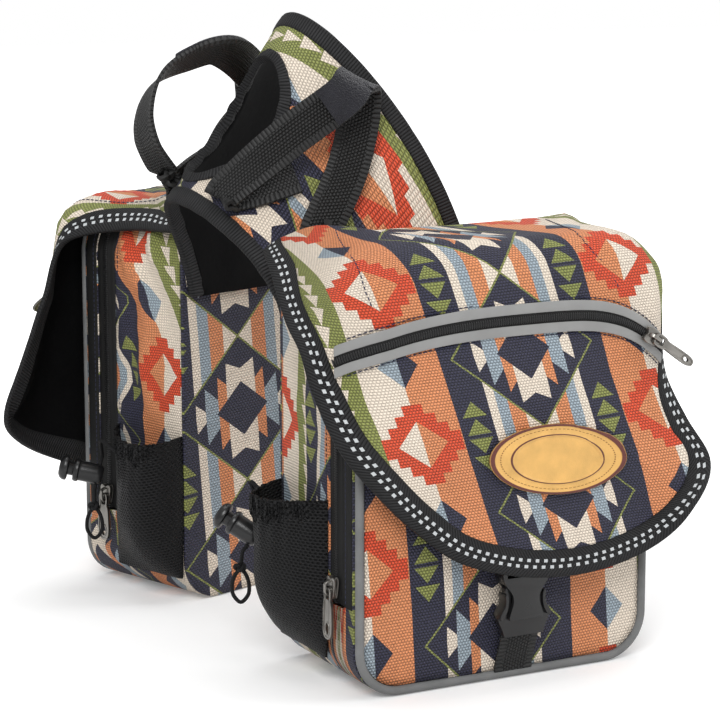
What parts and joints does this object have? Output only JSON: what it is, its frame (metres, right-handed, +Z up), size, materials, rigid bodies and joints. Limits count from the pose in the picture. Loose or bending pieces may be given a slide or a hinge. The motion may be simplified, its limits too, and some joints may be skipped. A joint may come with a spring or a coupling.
{
  "type": "saddle pommel bag",
  "caption": "Pair of padded pommel bags on an arched yoke with a horn hole, handles, zips, flaps and mesh bottle pockets, resting over a saddle front.",
  "frame": {"origin": "middle of the bounding box at the level of the bags' undersides", "axes": "+Z up; +Y across the horse, from the right bag, which carries the oval patch, to the left bag; +X along the horse's back, with the horn hole towards -X"},
  "size_m": [0.3324, 0.4132, 0.3787],
  "materials": {
    "black_lining": "plain black lining",
    "black_mesh": "black elastic mesh",
    "black_plastic": "black moulded plastic, satin",
    "black_tape": "ribbed black webbing and grosgrain",
    "black_zip": "black zip tape with a nylon coil",
    "grey_piping": "grey woven piping",
    "jacquard_binding": "black jacquard binding with two rows of grey squares",
    "pewter_metal": "dark pewter, satin",
    "printed_cloth": "coarse woven polyester printed with bands of stepped diamonds",
    "reflective_tape": "grey reflective tape",
    "tan_patch": "tan grained patch with a raised red-brown rim"
  },
  "bodies": {
    "bags": {"horn_binding": "black_tape", "left_back_panel": "printed_cloth", "left_buckle_socket": "black_plastic", "left_buckle_tab": "black_tape", "left_buckle_webbing": "black_tape", "left_far_cord": "black_tape", "left_far_lock": "black_plastic", "left_far_pocket": "black_mesh", "left_flap": "printed_cloth", "left_flap_binding": "jacquard_binding", "left_flap_zip": "reflective_tape", "left_front_panel": "printed_cloth", "left_gusset": "printed_cloth", "left_handle": "black_tape", "left_hook_patch": "black_tape", "left_liner": "black_lining", "left_main_zip": "black_zip", "left_near_cord": "black_tape", "left_near_lock": "black_plastic", "left_near_pocket": "black_mesh", "left_piping": "grey_piping", "right_back_panel": "printed_cloth", "right_buckle_socket": "black_plastic", "right_buckle_tab": "black_tape", "right_buckle_webbing": "black_tape", "right_far_cord": "black_tape", "right_far_lock": "black_plastic", "right_far_pocket": "black_mesh", "right_flap": "printed_cloth", "right_flap_binding": "jacquard_binding", "right_flap_zip": "reflective_tape", "right_front_panel": "printed_cloth", "right_gusset": "printed_cloth", "right_handle": "black_tape", "right_hook_patch": "black_tape", "right_liner": "black_lining", "right_main_zip": "black_zip", "right_near_cord": "black_tape", "right_near_lock": "black_plastic", "right_near_pocket": "black_mesh", "right_patch": "tan_patch", "right_piping": "grey_piping", "yoke_far_binding": "black_tape", "yoke_lining": "black_lining", "yoke_near_binding": "black_tape", "yoke_panel": "printed_cloth"},
    "right_main_slider": {"right_zip_slider": "pewter_metal"},
    "right_main_pull": {"right_zip_pull": "pewter_metal"},
    "right_pocket_slider": {"right_flap_slider": "pewter_metal"},
    "right_pocket_pull": {"right_flap_pull": "pewter_metal"},
    "right_near_button": {"right_near_button": "black_plastic"},
    "right_far_button": {"right_far_button": "black_plastic"},
    "right_plug": {"right_buckle_plug": "black_plastic"},
    "left_main_slider": {"left_zip_slider": "pewter_metal"},
    "left_main_pull": {"left_zip_pull": "pewter_metal"},
    "left_pocket_slider": {"left_flap_slider": "pewter_metal"},
    "left_pocket_pull": {"left_flap_pull": "pewter_metal"},
    "left_near_button": {"left_near_button": "black_plastic"},
    "left_far_button": {"left_far_button": "black_plastic"},
    "left_plug": {"left_buckle_plug": "black_plastic"}
  },
  "joints": [
    {"name": "right_main_zip_slide", "type": "slide", "parent": "bags", "child": "right_main_slider", "axis": [0, 0, 1], "range_m": [0, 0.076]},
    {"name": "right_main_pull_hinge", "type": "hinge", "parent": "right_main_slider", "child": "right_main_pull", "pos_m": [-0.07412, -0.16141, 0.0615], "axis": [0, 1, 0], "range_deg": [0, 150]},
    {"name": "right_pocket_zip_slide", "type": "hinge", "parent": "bags", "child": "right_pocket_slider", "pos_m": [0.0723, -0.19857, 0.13424], "axis": [0.02, -0.9996, -0.02], "range_deg": [0, 25]},
    {"name": "right_pocket_pull_hinge", "type": "hinge", "parent": "right_pocket_slider", "child": "right_pocket_pull", "pos_m": [0.11888, -0.20343, 0.19652], "axis": [-0.5423, -0.0661, -0.8376], "range_deg": [0, 150]},
    {"name": "right_near_button_press", "type": "slide", "parent": "bags", "child": "right_near_button", "axis": [0.6217, -0.6017, -0.5014], "range_m": [0, 0.0032], "stiffness_N_per_m": 250, "springref_m": -0.002},
    {"name": "right_far_button_press", "type": "slide", "parent": "bags", "child": "right_far_button", "axis": [-0.6217, -0.6017, -0.5014], "range_m": [0, 0.0032], "stiffness_N_per_m": 250, "springref_m": -0.002},
    {"name": "right_plug_slide", "type": "slide", "parent": "bags", "child": "right_plug", "axis": [0, 0, -1], "range_m": [0, 0.0215], "deforming": ["right_buckle_webbing"]},
    {"name": "left_main_zip_slide", "type": "slide", "parent": "bags", "child": "left_main_slider", "axis": [0, 0, 1], "range_m": [0, 0.1]},
    {"name": "left_main_pull_hinge", "type": "hinge", "parent": "left_main_slider", "child": "left_main_pull", "pos_m": [-0.10228, 0.10806, 0.0615], "axis": [-0.3256, 0.9455, 0], "range_deg": [0, 110]},
    {"name": "left_pocket_zip_slide", "type": "hinge", "parent": "bags", "child": "left_pocket_slider", "pos_m": [-0.06004, 0.17124, 0.12615], "axis": [-0.2967, 0.9519, 0.0762], "range_deg": [0, 25]},
    {"name": "left_pocket_pull_hinge", "type": "hinge", "parent": "left_pocket_slider", "child": "left_pocket_pull", "pos_m": [-0.10681, 0.15581, 0.19653], "axis": [0.4886, 0.1865, -0.8524], "range_deg": [0, 150]},
    {"name": "left_near_button_press", "type": "slide", "parent": "bags", "child": "left_near_button", "axis": [0.8705, -0.4403, -0.2199], "range_m": [0, 0.0032], "stiffness_N_per_m": 250, "springref_m": -0.002},
    {"name": "left_far_button_press", "type": "slide", "parent": "bags", "child": "left_far_button", "axis": [-0.7838, 0.3665, -0.5014], "range_m": [0, 0.0032], "stiffness_N_per_m": 250, "springref_m": -0.002},
    {"name": "left_plug_slide", "type": "slide", "parent": "bags", "child": "left_plug", "axis": [0, 0, -1], "range_m": [0, 0.0215], "deforming": ["left_buckle_webbing"]}
  ]
}
